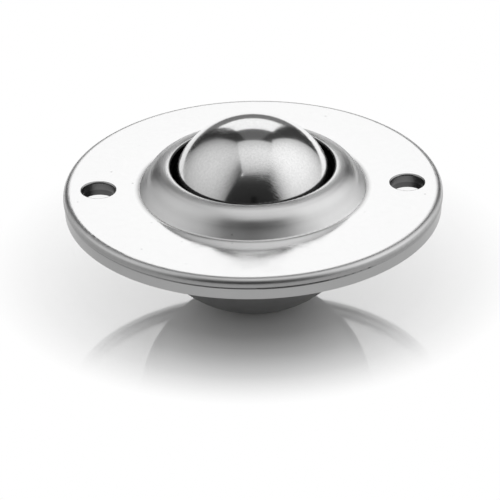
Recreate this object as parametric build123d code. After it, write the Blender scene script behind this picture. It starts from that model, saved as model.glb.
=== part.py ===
from build123d import *
import math
import os

# Flanged ball transfer unit with a one inch steel ball. Millimetres.
# The origin is on the ball's upright axis, in the plane of the flange's top face, where the
# screws' heads seat. +Z points out of that face towards the load ball.

# Balls.
load_ball_dia = 25.4
ball_drop = 1.60            # the ball's centre lies this far under the flange's top face
support_ball_dia = 3.969
row_step_deg = 15.9         # polar angle from one row of support balls to the next
row_count = 4               # rows round the one ball at the bottom
ball_gap = 0.04             # least gap between neighbours in a row

# Flange.
flange_dia = 57.9
flange_height = 3.3         # from the mounting face to the flange's top face
cover_t = 1.35               # upper sheet
cover_edge_r = 1.0         # rounding of the upper sheet's rim
seam_r = 0.12
housing_t = 0.9             # lower sheet, flange and turned-down rim
rim_step = 0.2              # the lower sheet is this much smaller in radius
rim_bend_r = 0.4
hole_from_rim = 5.4        # from a screw hole's centre to the flange's edge
hole_dia = 5.1
hole_edge_r = 0.3

# Raised collar round the ball.
mouth_gap = 0.85            # between the ball and the collar's mouth, level with the mouth
mouth_edge_r = 0.3
mouth_land = 0.04           # narrow level ring between the mouth's edge and the crown
crown_r = 3.8
collar_height = 3.7         # above the flange's top face
collar_slope_deg = 60.0
collar_t = 1.1              # the sheet is thinner where it was drawn
foot_r = 0.3

# Bowl of the housing under the flange, with the race in it.
race_t = 0.7
bowl_t = 0.7
bowl_flat_dia = 6.4         # flat pressed in the bottom, which the unit stands on
bowl_bend_r = 0.8

# Clearances.
race_run = 0.03             # support balls to race
load_run = 0.02             # load ball to support balls
seat_gap = 0.02             # race cup in the housing, retaining ring in the race cup
ring_run = 0.20             # load ball to retaining ring
ring_over_row = 0.10        # top row of support balls to the ring's lower face
ring_under_cover = 0.10

# Derived sizes.
ball_r = load_ball_dia / 2
support_r = support_ball_dia / 2
ball_z = -ball_drop
cover_under = -cover_t
mounting_z = -flange_height
orbit_r = ball_r + load_run + support_r
race_in_r = orbit_r + support_r + race_run
race_out_r = race_in_r + race_t
bowl_in_r = race_out_r + seat_gap
bowl_out_r = bowl_in_r + bowl_t
ring_in_r = ball_r + ring_run
ring_out_r = race_in_r - seat_gap
bowl_floor = ball_z - math.sqrt(bowl_out_r ** 2 - (bowl_flat_dia / 2) ** 2)
race_rim = cover_under - ring_under_cover
hole_x = flange_dia / 2 - hole_from_rim
mouth_z = collar_height - mouth_edge_r
mouth_r = math.sqrt(ball_r ** 2 - (mouth_z - ball_z) ** 2) + mouth_gap
slope = math.radians(collar_slope_deg)
crown_start = mouth_r + mouth_edge_r + mouth_land
foot_x = crown_start + crown_r * math.tan(slope / 2) + collar_height / math.tan(slope)


def cone_radius(z, inset=0.0):
    """Radius of the collar's sloping side at height z, set in along its normal."""
    return foot_x - inset / math.sin(slope) - z / math.tan(slope)


def on_sphere(radius, z):
    """Point (r, z) of a sphere round the ball's centre, at height z."""
    return (math.sqrt(radius ** 2 - (z - ball_z) ** 2), z)


def arc_between(radius, start, end):
    """Arc of a sphere's section round the ball's centre, from one point to another."""
    a0 = math.atan2(start[1] - ball_z, start[0])
    a1 = math.atan2(end[1] - ball_z, end[0])
    mid = (a0 + a1) / 2
    through = (radius * math.cos(mid), ball_z + radius * math.sin(mid))
    return ThreePointArc(start, through, end)


def rounded(face, corners):
    """Rounds the corners of a section, given as (point, radius)."""
    for (r, z), radius in corners:
        corner = face.vertices().sort_by_distance(Vector(r, z, 0))[0]
        face = fillet(corner, radius)
    return face


def turned(face):
    """Solid of revolution round Z from a section drawn as (radius, height)."""
    return revolve(Plane.XZ * face, Axis.Z, 360)


def screw_holes(height):
    """The two screw holes through the flange, as a cutting tool."""
    drill = Cylinder(hole_dia / 2, height)
    places = [(side * hole_x, 0, mounting_z / 2) for side in (-1, 1)]
    return [Pos(*place) * drill for place in places]


def flange_cover():
    """Upper pressing: flat flange with a rounded rim and the raised collar."""
    rim = flange_dia / 2
    inside = collar_height - collar_t
    foot = (foot_x, 0)
    crown = (cone_radius(collar_height), collar_height)
    crown_in = (cone_radius(inside, collar_t), inside)
    foot_in = (cone_radius(cover_under, collar_t), cover_under)
    outline = Polyline(
        (rim, cover_under),
        (rim, 0),
        foot,
        crown,
        (mouth_r, collar_height),
        (mouth_r, inside),
        crown_in,
        foot_in,
        close=True,
    )
    section = rounded(
        make_face(outline),
        [
            ((rim, 0), cover_edge_r),
            ((rim, cover_under), seam_r),
            (foot, foot_r),
            (crown, crown_r),
            ((mouth_r, collar_height), mouth_edge_r),
            (crown_in, crown_r - collar_t),
            (foot_in, foot_r + collar_t),
        ],
    )
    cover = turned(section) - screw_holes(4 * flange_height)
    hole_edges = [
        edge
        for edge in cover.edges().filter_by(GeomType.CIRCLE)
        if abs(edge.radius - hole_dia / 2) < 0.01
        and abs(edge.center().Z) < 0.01
    ]
    return fillet(hole_edges, hole_edge_r)


def housing_cup():
    """Lower pressing: flange with a turned-down rim and the round bowl under it."""
    rim = flange_dia / 2 - rim_step
    under = cover_under - housing_t
    floor_in = bowl_floor + bowl_t
    throat = on_sphere(bowl_in_r, cover_under - bowl_bend_r)
    outline = [
        Line((rim, mounting_z), (rim, cover_under)),
        Line((rim, cover_under), (throat[0] + bowl_bend_r, cover_under)),
        RadiusArc((throat[0] + bowl_bend_r, cover_under), throat, -bowl_bend_r),
        arc_between(bowl_in_r, throat, on_sphere(bowl_in_r, floor_in)),
        Line(on_sphere(bowl_in_r, floor_in), (0, floor_in)),
        Line((0, floor_in), (0, bowl_floor)),
        Line((0, bowl_floor), (bowl_flat_dia / 2, bowl_floor)),
        arc_between(bowl_out_r, (bowl_flat_dia / 2, bowl_floor), on_sphere(bowl_out_r, under)),
        Line(on_sphere(bowl_out_r, under), (rim - housing_t, under)),
        Line((rim - housing_t, under), (rim - housing_t, mounting_z)),
        Line((rim - housing_t, mounting_z), (rim, mounting_z)),
    ]
    section = rounded(
        make_face(outline),
        [
            ((rim, cover_under), rim_bend_r),
            (on_sphere(bowl_out_r, under), rim_bend_r),
            ((rim - housing_t, under), rim_bend_r),
        ],
    )
    return turned(section) - screw_holes(4 * flange_height)


def race_cup():
    """Hardened bowl that the support balls roll in."""
    floor_out = bowl_floor + bowl_t + seat_gap
    pole = (0, ball_z - race_in_r)
    rim_out = (race_out_r, ball_z)
    outline = [
        Line((race_in_r, race_rim), (race_out_r, race_rim)),
        Line((race_out_r, race_rim), rim_out),
        arc_between(race_out_r, rim_out, on_sphere(race_out_r, floor_out)),
        Line(on_sphere(race_out_r, floor_out), (0, floor_out)),
        Line((0, floor_out), pole),
        arc_between(race_in_r, pole, (race_in_r, ball_z)),
        Line((race_in_r, ball_z), (race_in_r, race_rim)),
    ]
    return turned(make_face(outline))


def retaining_ring():
    """Moulded ring that holds the load ball down and closes off the support balls."""
    clear = math.degrees(math.asin((support_r + ring_over_row) / orbit_r))
    lower = math.radians(row_count * row_step_deg + clear)
    heel = (ring_in_r * math.sin(lower), ball_z - ring_in_r * math.cos(lower))
    toe = (ring_out_r * math.sin(lower), ball_z - ring_out_r * math.cos(lower))
    top = collar_height - collar_t - ring_under_cover
    inset = collar_t + ring_under_cover
    shoulder_z = (cone_radius(0, inset) - ring_out_r) * math.tan(slope)
    outline = [
        arc_between(ring_in_r, heel, on_sphere(ring_in_r, top)),
        Line(on_sphere(ring_in_r, top), (cone_radius(top, inset), top)),
        Line((cone_radius(top, inset), top), (ring_out_r, shoulder_z)),
        Line((ring_out_r, shoulder_z), (ring_out_r, ball_z)),
        arc_between(ring_out_r, (ring_out_r, ball_z), toe),
        Line(toe, heel),
    ]
    crown = (cone_radius(top, inset), top)
    return turned(rounded(make_face(outline), [(crown, crown_r - inset)]))


def support_balls():
    """One ball at the bottom and the rows round it, as (polar angle, turn) pairs."""
    pitch = support_ball_dia + ball_gap
    places = [(0.0, 0.0)]
    for row in range(1, row_count + 1):
        polar = row * row_step_deg
        ring = orbit_r * math.sin(math.radians(polar))
        count = int(math.pi / math.asin(pitch / 2 / ring))
        turn = 360 / count
        places += [(polar, (k + row / 2) * turn) for k in range(count)]
    ball = Sphere(support_r)
    centre = Pos(0, 0, ball_z)
    drop = Pos(0, 0, -orbit_r)
    return [centre * Rot(Z=turn) * Rot(Y=-polar) * drop * ball for polar, turn in places]


def all_parts():
    parts = {
        "flange_cover": flange_cover(),
        "housing_cup": housing_cup(),
        "race_cup": race_cup(),
        "retaining_ring": retaining_ring(),
        "load_ball": Pos(0, 0, ball_z) * Sphere(ball_r),
    }
    for number, ball in enumerate(support_balls(), start=1):
        parts[f"support_ball_{number:02d}"] = ball
    return parts


os.makedirs("parts", exist_ok=True)
for name, solid in all_parts().items():
    export_step(solid, f"parts/{name}.step")
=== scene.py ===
import math

import bpy
from mathutils import Matrix, Vector

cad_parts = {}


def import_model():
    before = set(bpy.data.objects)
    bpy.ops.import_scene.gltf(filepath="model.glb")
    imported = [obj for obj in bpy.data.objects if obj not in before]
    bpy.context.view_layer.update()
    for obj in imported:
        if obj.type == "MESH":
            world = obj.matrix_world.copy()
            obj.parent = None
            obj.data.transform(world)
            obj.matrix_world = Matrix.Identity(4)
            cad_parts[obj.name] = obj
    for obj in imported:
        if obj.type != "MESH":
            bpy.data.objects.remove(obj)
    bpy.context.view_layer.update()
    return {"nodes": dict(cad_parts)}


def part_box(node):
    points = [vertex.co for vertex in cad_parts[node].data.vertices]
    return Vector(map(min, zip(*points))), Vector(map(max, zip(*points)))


# Flanged ball transfer unit: looks, light and camera. Metres, in the frame of the solids.
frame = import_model()

MM = 0.001
NODES = frame["nodes"]
WHITE = (1, 1, 1, 1)

# Places read from the solids.
FLANGE_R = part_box("flange_cover")[1].x
FLOOR_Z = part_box("housing_cup")[0].z
BALL_LOW, BALL_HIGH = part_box("load_ball")
BALL_CENTRE = Vector((0, 0, (BALL_HIGH.z + BALL_LOW.z) / 2))

# The frame's origin lies in the flange's top face.
FLANGE_TOP = 0.0

# Screw holes, on the X axis. The mask that paints shade on their walls, for the shade inside
# the holes, fades over HOLE_FADE outside them.
HOLE_FROM_RIM = 5.4 * MM
HOLE_X = FLANGE_R - HOLE_FROM_RIM
HOLE_R = 2.55 * MM
HOLE_FADE = 0.25 * MM
HOLE_PAINTED_SHADE = 0.16
HOLE_ROUGH = 0.35

# The photograph's view, for a picture 500 pixels wide.
VIEW_ELEVATION = math.radians(28.5)
VIEW_TURN = math.radians(-0.8)
VIEW_ROLL = math.radians(1.07)
VIEW_DISTANCE = 0.632
PIXELS_PER_METRE = 6561
PICTURE = 500
AXIS_PIXEL = (252.9, 185.9)
SENSOR_MM = 36

# Shade, roughness and relief of the sheets are (millimetres from the axis, value) stops, up to
# the reach. The shade stops hold painted shade and painted reflection as well as the sheets' tone.
STEEL_REACH = 30 * MM
# Painted shade and painted reflection on the cover: near black on the mouth's inner wall for the
# shade round the ball, a lighter crown band and a darker slope for the collar's reflections, a dark
# ring round the collar's foot for the crease's shade and the collar's mirrored image, and a darker
# rim with a near-black outer band for the dark surroundings that it reflects.
COVER_TONE_AND_PAINTED_LIGHT = [
    (12.62, 0.03), (12.74, 0.3), (12.86, 0.9), (14.1, 0.92), (14.7, 0.8), (16.0, 0.8), (16.6, 0.93),
    (17.15, 0.97), (17.36, 0.9), (17.5, 0.55), (17.75, 0.8), (18.1, 0.97), (27.9, 0.97), (28.2, 0.66),
    (28.75, 0.78), (28.9, 0.29),
]
COVER_ROUGH = [
    (12.7, 0.2), (13.0, 0.22), (13.4, 0.36), (14.2, 0.34), (14.9, 0.3), (15.6, 0.3), (16.1, 0.34),
    (16.5, 0.41), (16.9, 0.46), (17.1, 0.45), (17.4, 0.32), (17.6, 0.1), (20.0, 0.09), (22.5, 0.12),
    (27.7, 0.13), (28.1, 0.35),
]
# Painted shade on the lower sheet: the bowl under the flange is dark for the shade beneath it, and
# the lower rim is darkened for the darker reflection it shows.
LOWER_TONE_AND_PAINTED_SHADE = [(18.3, 0.19), (19.2, 0.6), (27.5, 0.6), (28.0, 0.35)]
LOWER_ROUGH = [(18.3, 0.42), (19.5, 0.3)]

# Heights in millimetres. The bump made of them turns the crown over sooner at the mouth and
# widens the rounding at the foot.
CROWN_RELIEF = [
    (12.9, 0.335), (13.2, 0.298), (13.8, 0.203), (14.5, 0.117), (15.2, 0.072), (16.0, 0.055),
    (17.35, 0.055), (17.45, 0.028), (17.57, 0.009), (17.7, 0.0),
]

# Textures of the metal. A scale is in noise cells a metre. A scratch layer is its direction
# in radians and its scale, and the width of a scratch is in the noise's own values.
ROUGHNESS_SCALE = 260
GRAIN_SCALE = 5200
LATHE_SCALE = 9000
LATHE_PER_RADIAN = 1.2
SCRATCH_LAYERS = ((0.5, 260), (1.9, 200), (2.7, 330))
SCRATCH_STRETCH = 14
SCRATCH_WIDTH = 0.012
SCRATCH_PATCH_SCALE = 140
PIT_SCALE = 420
PIT_PATCH_SCALE = 330
METAL_BUMP = 0.02 * MM

# Textures of the plastic.
PLASTIC_SHADE_SCALE = 700
PLASTIC_GRAIN_SCALE = 4000
PLASTIC_BUMP = 0.03 * MM

# Studio, in metres from the load ball's centre. TABLE_LIFT is a height over the floor.
PANEL_FOOT = -0.016
SIDE_FRONT = -2.0
CEILING_Z = 1.6
OPENING_AWAY = 0.9
POST_AWAY = 0.85
WINDOW_AWAY = 1.4
FRAME_OUTER = 2.2
FRAME_TOP = 5
TABLE_INNER = 0.052
TABLE_OUTER = 2.2
TABLE_FRONT = -1.5
TABLE_BACK = 2
TABLE_LIFT = 0.0003

# Floor. Its gloss and its fade to plain white follow the distance in millimetres from a
# point behind the unit's axis.
FLOOR_HALF = 3
FLOOR_REACH = 50 * MM
FADE_CENTRE = (0, 10 * MM, 0)
FLOOR_SHADE = (0.96, 0.96, 0.96, 1)
FLOOR_ROUGH = 0.05
FLOOR_GLOSS = [
    (0, 0.78), (6, 0.74), (10, 0.64), (14, 0.55), (18, 0.52), (22, 0.5), (26, 0.45), (30, 0.38),
    (34, 0.29), (38, 0.17), (42, 0.0),
]
FLOOR_FADE = [(22, 0.0), (28, 0.1), (34, 0.35), (38, 0.65), (42, 1.0)]


def node_tree(name):
    """A material with its node tree emptied, and an output to link to."""
    material = bpy.data.materials.new(name)
    material.use_nodes = True
    tree = material.node_tree
    tree.nodes.clear()
    output = tree.nodes.new("ShaderNodeOutputMaterial")
    return material, tree, output


def add(tree, kind, **values):
    """A node with its properties or sockets set by name, with _ for a space."""
    node = tree.nodes.new(kind)
    for key, value in values.items():
        if hasattr(node, key):
            setattr(node, key, value)
        else:
            node.inputs[key.replace("_", " ")].default_value = value
    return node


def join(tree, source, target):
    tree.links.new(source, target)


def math_node(tree, operation, a, b=None, clamp=False):
    """A Math node; a and b are sockets or numbers."""
    node = add(tree, "ShaderNodeMath", operation=operation, use_clamp=clamp)
    for index, value in enumerate((a, b)):
        if value is None:
            continue
        if isinstance(value, (int, float)):
            node.inputs[index].default_value = value
        else:
            join(tree, value, node.inputs[index])
    return node.outputs[0]


def times(tree, a, b):
    return math_node(tree, "MULTIPLY", a, b)


def ramp(tree, factor, stops):
    """A ramp of greys from (place, grey) stops."""
    node = add(tree, "ShaderNodeValToRGB")
    elements = node.color_ramp.elements
    while len(elements) < len(stops):
        elements.new(0.5)
    while len(elements) > len(stops):
        elements.remove(elements[-1])
    for element, (place, grey) in zip(elements, stops):
        element.position = place
        element.color = (grey, grey, grey, 1)
    join(tree, factor, node.inputs[0])
    return node.outputs[0]


def by_radius(tree, radius, stops, reach=STEEL_REACH):
    """A value that follows a distance, from (millimetres, value) stops up to reach."""
    share = math_node(tree, "MULTIPLY", radius, 1 / reach, clamp=True)
    return ramp(tree, share, [(at * MM / reach, value) for at, value in stops])


def gradient(tree, place, stops):
    """A value that follows one coordinate, from (metres, value) stops."""
    low, high = stops[0][0], stops[-1][0]
    share = math_node(tree, "SUBTRACT", place, low)
    share = math_node(tree, "DIVIDE", share, high - low, clamp=True)
    return ramp(tree, share, [((at - low) / (high - low), value) for at, value in stops])


def coordinates(tree):
    """The place on the object, as a vector."""
    return add(tree, "ShaderNodeTexCoord").outputs["Object"]


def separate(tree, vector):
    """Sockets for a vector's x, y and z."""
    node = add(tree, "ShaderNodeSeparateXYZ")
    join(tree, vector, node.inputs[0])
    return node.outputs


def combine(tree, *parts):
    """A vector from sockets for its x, its y and, if there is one, its z."""
    node = add(tree, "ShaderNodeCombineXYZ")
    for part, target in zip(parts, node.inputs):
        join(tree, part, target)
    return node.outputs[0]


def length(tree, vector):
    node = add(tree, "ShaderNodeVectorMath", operation="LENGTH")
    join(tree, vector, node.inputs[0])
    return node.outputs["Value"]


def noise(tree, vector, scale, detail=4.0, roughness=0.5):
    node = add(tree, "ShaderNodeTexNoise", Scale=scale, Detail=detail, Roughness=roughness)
    join(tree, vector, node.inputs["Vector"])
    return node.outputs["Fac"]


def bump(tree, height, strength, depth, under=None):
    """The normal of a bump, laid over the normal under if there is one."""
    node = add(tree, "ShaderNodeBump", Strength=strength, Distance=depth)
    join(tree, height, node.inputs["Height"])
    if under is not None:
        join(tree, under, node.inputs["Normal"])
    return node.outputs[0]


def mix(tree, share, first, second):
    """One shader mixed into another."""
    node = add(tree, "ShaderNodeMixShader")
    for source, target in zip((share, first.outputs[0], second.outputs[0]), node.inputs):
        join(tree, source, target)
    return node


def hole_mask(tree, axes):
    """1 in the two screw holes, fading to 0 just outside them."""
    reach = 4 * MM
    side = math_node(tree, "ABSOLUTE", axes[0])
    across = math_node(tree, "SUBTRACT", side, HOLE_X)
    near = times(tree, length(tree, combine(tree, across, axes[1])), 1 / reach)
    return ramp(tree, near, [(HOLE_R / reach, 1.0), ((HOLE_R + HOLE_FADE) / reach, 0.0)])


def lathe_rings(tree, axes, radius):
    """Heights of marks that run round the axis, as the lathe or die leaves them."""
    angle = math_node(tree, "ARCTAN2", axes[1], axes[0])
    along = times(tree, angle, LATHE_PER_RADIAN)
    across = times(tree, radius, LATHE_SCALE)
    up = times(tree, axes[2], LATHE_SCALE)
    return noise(tree, combine(tree, along, across, up), 1.0, detail=3)


def scratch_layer(tree, place, turn, scale):
    """Thin straight lines of a stretched noise, 1 on a line and 0 off it."""
    size = (scale, scale * SCRATCH_STRETCH, scale)
    mapping = add(tree, "ShaderNodeMapping", Rotation=(0, 0, turn), Scale=size)
    join(tree, place, mapping.inputs["Vector"])
    field = noise(tree, mapping.outputs[0], 1.0, detail=2.0, roughness=0.6)
    off = math_node(tree, "ABSOLUTE", math_node(tree, "SUBTRACT", field, 0.5))
    return ramp(tree, off, [(0.0, 1.0), (SCRATCH_WIDTH, 0.0)])


def scratches(tree, place):
    """Heights of fine straight scratches in patches."""
    lines = 0.0
    for turn, scale in SCRATCH_LAYERS:
        lines = math_node(tree, "MAXIMUM", lines, scratch_layer(tree, place, turn, scale))
    patches = noise(tree, place, SCRATCH_PATCH_SCALE, detail=2)
    patches = ramp(tree, patches, [(0.45, 0.0), (0.62, 1.0)])
    return times(tree, times(tree, lines, patches), -1.0)


def unpitted(tree, place, strength):
    """1 on clean metal and less in small dark pits, which lie in patches."""
    cells = add(tree, "ShaderNodeTexVoronoi", Scale=PIT_SCALE)
    join(tree, place, cells.inputs["Vector"])
    pits = ramp(tree, cells.outputs["Distance"], [(0.05, 1.0), (0.11, 0.0)])
    patches = noise(tree, place, PIT_PATCH_SCALE, detail=1)
    patches = ramp(tree, patches, [(0.56, 0.0), (0.6, 1.0)])
    return math_node(tree, "SUBTRACT", 1.0, times(tree, times(tree, pits, patches), strength))


def relief_bump(tree, radius, relief):
    """The normal of a form given by heights in millimetres, the first of them the highest."""
    depth = relief[0][1]
    shares = [(at, height / depth) for at, height in relief]
    return bump(tree, by_radius(tree, radius, shares), 1.0, depth * MM)


def steel(name, shade, rough, lathe=0.0, marks=0.0, grain=0.0, specks=0.0, holes=False,
          relief=None, mottle=(900, 0.985)):
    """Stainless steel. shade, rough and relief are stops by distance from the axis. lathe is
    the strength of marks round the axis, marks that of straight scratches, grain that of a
    fine grain and specks that of small dark pits. holes paints shade on the walls of the screw
    holes and roughens them. mottle is the scale and the darkest value of the mottling."""
    material, tree, output = node_tree(name)
    place = coordinates(tree)
    axes = separate(tree, place)
    radius = length(tree, combine(tree, axes[0], axes[1]))
    scale, darkest = mottle
    mottling = ramp(tree, noise(tree, place, scale, detail=5), [(0.3, darkest), (0.7, 1.0)])
    colour = times(tree, by_radius(tree, radius, shade), mottling)
    uneven = ramp(tree, noise(tree, place, ROUGHNESS_SCALE, detail=4), [(0.3, 0.92), (0.7, 1.1)])
    dull = times(tree, by_radius(tree, radius, rough), uneven)
    # Painted shade: the colour is darkened in the screw holes, and they are made rougher.
    if holes:
        mask = hole_mask(tree, axes)
        colour = times(tree, colour, ramp(tree, mask, [(0.0, 1.0), (1.0, HOLE_PAINTED_SHADE)]))
        dull = math_node(tree, "MAXIMUM", dull, times(tree, mask, HOLE_ROUGH))
    if specks:
        colour = times(tree, colour, unpitted(tree, place, specks))
    normal = relief_bump(tree, radius, relief) if relief else None
    if lathe:
        normal = bump(tree, lathe_rings(tree, axes, radius), lathe, METAL_BUMP, normal)
    if marks:
        normal = bump(tree, scratches(tree, place), marks, METAL_BUMP, normal)
    if grain:
        fine = noise(tree, place, GRAIN_SCALE, detail=3)
        normal = bump(tree, fine, grain, METAL_BUMP, normal)
    shader = add(tree, "ShaderNodeBsdfPrincipled", Metallic=1.0)
    join(tree, colour, shader.inputs["Base Color"])
    join(tree, dull, shader.inputs["Roughness"])
    if normal is not None:
        join(tree, normal, shader.inputs["Normal"])
    join(tree, shader.outputs[0], output.inputs[0])
    return material


# The cover sheet; its tone stops carry painted shade and painted reflection.
def satin_sheet_steel():
    return steel(
        "satin_sheet_steel", COVER_TONE_AND_PAINTED_LIGHT, COVER_ROUGH, lathe=0.08, marks=0.08, grain=0.02,
        specks=0.25, holes=True, relief=CROWN_RELIEF,
    )


# The lower sheet; its tone stops carry painted shade on the bowl and the lower rim.
def lower_sheet_steel():
    return steel(
        "lower_sheet_steel", LOWER_TONE_AND_PAINTED_SHADE, LOWER_ROUGH, lathe=0.25, marks=0.15, grain=0.1, holes=True,
    )


def polished_ball_steel():
    return steel(
        "polished_ball_steel", [(0.0, 0.93)], [(0.0, 0.12)], marks=0.13, specks=0.6,
        mottle=(3200, 0.91),
    )


def ground_race_steel():
    return steel("ground_race_steel", [(0.0, 0.6)], [(0.0, 0.22)], lathe=0.2)


def support_ball_steel():
    return steel("support_ball_steel", [(0.0, 0.8)], [(0.0, 0.08)])


def black_plastic_and_gap_shade():
    """Matt black moulded plastic with a fine grain, so dark that it paints the shade in the gap round
    the ball.
    """
    material, tree, output = node_tree("black_plastic_and_gap_shade")
    place = coordinates(tree)
    shader = add(tree, "ShaderNodeBsdfPrincipled", Roughness=0.7, Specular_IOR_Level=0.03)
    # Near-zero shade: black plastic with painted shade of the gap round the load ball.
    shade = ramp(tree, noise(tree, place, PLASTIC_SHADE_SCALE), [(0.3, 0.001), (0.7, 0.003)])
    join(tree, shade, shader.inputs["Base Color"])
    normal = bump(tree, noise(tree, place, PLASTIC_GRAIN_SCALE), 0.3, PLASTIC_BUMP)
    join(tree, normal, shader.inputs["Normal"])
    join(tree, shader.outputs[0], output.inputs[0])
    return material


def dress(node, material):
    """Gives a solid its material."""
    materials = NODES[node].data.materials
    materials.clear()
    materials.append(material)


def dress_all():
    dress("flange_cover", satin_sheet_steel())
    dress("housing_cup", lower_sheet_steel())
    dress("race_cup", ground_race_steel())
    dress("retaining_ring", black_plastic_and_gap_shade())
    dress("load_ball", polished_ball_steel())
    small = support_ball_steel()
    for name in NODES:
        if name.startswith("support_ball_"):
            dress(name, small)


def flat_face(name, corners, place):
    """An object of one flat face at place, with corners measured from there."""
    mesh = bpy.data.meshes.new(name)
    mesh.from_pydata(corners, [], [range(len(corners))])
    obj = bpy.data.objects.new(name, mesh)
    obj.location = place
    bpy.context.scene.collection.objects.link(obj)
    return obj


def panel(name, corners, level, *shades):
    """A flat studio panel, seen only in reflections. level is its brightness, and shades are
    brightness gradients, each the number of an axis and its stops."""
    obj = flat_face(name, corners, BALL_CENTRE)
    material, tree, output = node_tree(name + "_material")
    glow = add(tree, "ShaderNodeEmission", Color=WHITE, Strength=level)
    axes = separate(tree, coordinates(tree))
    strength = level
    for axis, stops in shades:
        strength = times(tree, gradient(tree, axes[axis], stops), strength)
    if shades:
        join(tree, strength, glow.inputs["Strength"])
    join(tree, glow.outputs[0], output.inputs[0])
    obj.data.materials.append(material)
    obj.visible_camera = False
    obj.visible_shadow = False
    obj.visible_diffuse = False


def upright(name, y, outline, level, *shades):
    """A panel across the view at distance y, from (x, z) points."""
    panel(name, [(x, y, z) for x, z in outline], level, *shades)


def side_panels():
    """Pale cloth at both sides, brightest beside the unit."""
    along = [
        (-1.6, 0.15), (-1.05, 0.42), (-0.75, 0.68), (-0.45, 0.88), (0.0, 1.0), (0.45, 0.95),
        (0.75, 0.80), (1.05, 0.57), (1.25, 0.42),
    ]
    rise = [(0.0, 0.62), (0.15, 0.78), (0.45, 0.94), (0.9, 1.0), (1.4, 0.97), (2.5, 0.88)]
    sides = (("side_left", -1.0, 1.25, 3.57, 0.70), ("side_right", 1.0, 1.15, 2.41, 1.03))
    for name, x, back, top, level in sides:
        lower = [(x, SIDE_FRONT, PANEL_FOOT), (x, back, PANEL_FOOT)]
        upper = [(x, back, top), (x, SIDE_FRONT, top)]
        panel(name, lower + upper, level, (1, along), (2, rise))


def ceiling():
    """Pale cloth above, brightest near its middle. Its places are shares of its height."""
    height = CEILING_Z
    left, right, front, back = -0.28, 0.415, -0.80, 0.37
    along = [
        (front, 0.12), (-0.70, 0.2), (-0.65, 0.33), (-0.55, 0.56), (-0.35, 0.83), (-0.2, 0.93),
        (0.0, 1.0), (0.1, 0.95), (0.2, 0.83), (0.3, 0.72), (0.38, 0.62),
    ]
    wide = [(left, 0.92), (0.0, 0.97), (0.2, 1.0)]
    along = [(at * height, value) for at, value in along]
    wide = [(at * height, value) for at, value in wide]
    outline = ((left, front), (right, front), (right, back), (left, back))
    corners = [(x * height, y * height, height) for x, y in outline]
    panel("ceiling", corners, 0.84, (1, along), (0, wide))


def front_opening():
    """Dark opening behind the camera, with a darker post in it. Their places are shares of
    their distance, but for the foot."""
    away = OPENING_AWAY
    above = [(0.80, 0.345), (0.72, 0.76), (0.66, 1.45), (-0.64, 1.47), (-0.77, 0.815), (-0.91, 0.347)]
    foot = [(-away, PANEL_FOOT), (0.9 * away, PANEL_FOOT)]
    outline = foot + [(x * away, z * away) for x, z in above]
    rise = [(0.0, 0.2), (0.35, 0.22), (0.9, 0.33), (1.1, 0.5), (1.3, 0.8), (1.45, 1.0)]
    rise = [(at * away, value) for at, value in rise]
    upright("opening", -away, outline, 0.09, (2, rise))
    away = POST_AWAY
    left, right, top = -0.07 * away, 0.075 * away, 0.5 * away
    post = [(left, PANEL_FOOT), (right, PANEL_FOOT), (right, top), (left, top)]
    upright("opening_dark", -away, post, 0.008)


def window_frame():
    """Dark frame round the white window at the back. The window's places are shares of its
    distance, but for its foot."""
    away = WINDOW_AWAY
    heights = (PANEL_FOOT, 0.33 * away, 1.07 * away, FRAME_TOP)
    left = [(x * away, z) for x, z in zip((-0.41, -0.385, -0.33, -0.33), heights)]
    right = [(x * away, z) for x, z in zip((0.35, 0.38, 0.49, 0.49), heights)]
    outer_left = [(-FRAME_OUTER, FRAME_TOP), (-FRAME_OUTER, PANEL_FOOT)]
    outer_right = [(FRAME_OUTER, PANEL_FOOT), (FRAME_OUTER, FRAME_TOP)]
    upright("frame_left", away, left + outer_left, 0.035)
    upright("frame_right", away, right[::-1] + outer_right, 0.045)
    upright("frame_above", away, [left[2], right[2], right[3], left[3]], 0.125)
    upright("frame_below", away, [left[0], right[0], right[1], left[1]], 0.18)


def table():
    """Pale cards that lie on the floor at both sides of the unit."""
    height = FLOOR_Z - BALL_CENTRE.z + TABLE_LIFT
    for name, side, level in (("table_left", -1, 0.85), ("table_right", 1, 1.0)):
        inner, outer = side * TABLE_INNER, side * TABLE_OUTER
        front = [(inner, TABLE_FRONT, height), (outer, TABLE_FRONT, height)]
        back = [(outer, TABLE_BACK, height), (inner, TABLE_BACK, height)]
        panel(name, front + back, level)


def studio():
    """A light tent with a white window at the back and a dark opening in front."""
    side_panels()
    ceiling()
    front_opening()
    window_frame()
    table()


def seen_or_mirrored(tree):
    """1 for what the camera sees, straight, mirrored or through something clear."""
    path = add(tree, "ShaderNodeLightPath")
    seen = math_node(tree, "MAXIMUM", path.outputs["Is Camera Ray"], path.outputs["Is Glossy Ray"])
    return math_node(tree, "MAXIMUM", seen, path.outputs["Is Transmission Ray"])


def floor_material():
    """White glossy floor: it shows the object's shadow and a blurred mirror image near the
    object and is plain white further off."""
    material, tree, output = node_tree("white_floor")
    offset = add(tree, "ShaderNodeVectorMath", operation="SUBTRACT")
    join(tree, coordinates(tree), offset.inputs[0])
    offset.inputs[1].default_value = FADE_CENTRE
    away = length(tree, offset.outputs[0])
    gloss = by_radius(tree, away, FLOOR_GLOSS, FLOOR_REACH)
    plain = by_radius(tree, away, FLOOR_FADE, FLOOR_REACH)
    diffuse = add(tree, "ShaderNodeBsdfDiffuse", Color=FLOOR_SHADE)
    mirror = add(tree, "ShaderNodeBsdfGlossy", Color=WHITE, Roughness=FLOOR_ROUGH)
    white = add(tree, "ShaderNodeEmission", Color=WHITE, Strength=1.0)
    surface = mix(tree, gloss, diffuse, mirror)
    whole = mix(tree, times(tree, plain, seen_or_mirrored(tree)), surface, white)
    join(tree, whole.outputs[0], output.inputs[0])
    return material


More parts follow.
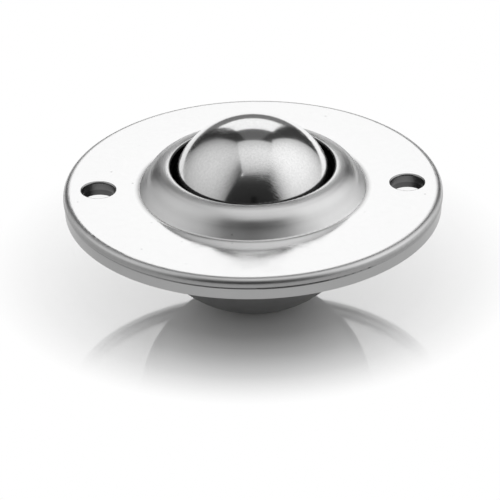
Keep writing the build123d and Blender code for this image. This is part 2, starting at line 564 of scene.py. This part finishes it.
def floor():
    near, far = -FLOOR_HALF, FLOOR_HALF
    corners = [(near, near, 0), (far, near, 0), (far, far, 0), (near, far, 0)]
    obj = flat_face("floor", corners, (0, 0, FLOOR_Z))
    obj.data.materials.append(floor_material())


def world():
    """Plain white light all round."""
    sky = bpy.data.worlds.new("plain_white")
    bpy.context.scene.world = sky
    sky.use_nodes = True
    tree = sky.node_tree
    tree.nodes.clear()
    light = add(tree, "ShaderNodeBackground", Color=WHITE, Strength=1.0)
    output = add(tree, "ShaderNodeOutputWorld")
    join(tree, light.outputs[0], output.inputs[0])


def camera():
    """Stands the camera at the photograph's place and aims it so that the flange's centre
    falls where the photograph has it."""
    target = Vector((0, 0, FLANGE_TOP))
    side = Vector((math.cos(VIEW_TURN), math.sin(VIEW_TURN), 0))
    level = Vector((-math.sin(VIEW_TURN), math.cos(VIEW_TURN), 0))
    towards = level * math.cos(VIEW_ELEVATION) - Vector((0, 0, math.sin(VIEW_ELEVATION)))
    up = side.cross(towards)
    right = side * math.cos(VIEW_ROLL) - up * math.sin(VIEW_ROLL)
    top = side * math.sin(VIEW_ROLL) + up * math.cos(VIEW_ROLL)
    place = target - towards * VIEW_DISTANCE
    across = (PICTURE / 2 - AXIS_PIXEL[0]) / PIXELS_PER_METRE
    down = (PICTURE / 2 - AXIS_PIXEL[1]) / PIXELS_PER_METRE
    aim = target + right * across - top * down
    look = (aim - place).normalized()
    right = (right - look * right.dot(look)).normalized()
    top = right.cross(look)
    data = bpy.data.cameras.new("camera")
    data.sensor_width = SENSOR_MM
    data.lens = PIXELS_PER_METRE * VIEW_DISTANCE * SENSOR_MM / PICTURE
    data.clip_start = 0.01
    data.clip_end = 50
    obj = bpy.data.objects.new("camera", data)
    bpy.context.scene.collection.objects.link(obj)
    obj.matrix_world = Matrix((
        (right.x, top.x, -look.x, place.x),
        (right.y, top.y, -look.y, place.y),
        (right.z, top.z, -look.z, place.z),
        (0, 0, 0, 1),
    ))
    bpy.context.scene.camera = obj


dress_all()
studio()
floor()
world()
camera()
bpy.context.scene.view_settings.view_transform = "Standard"
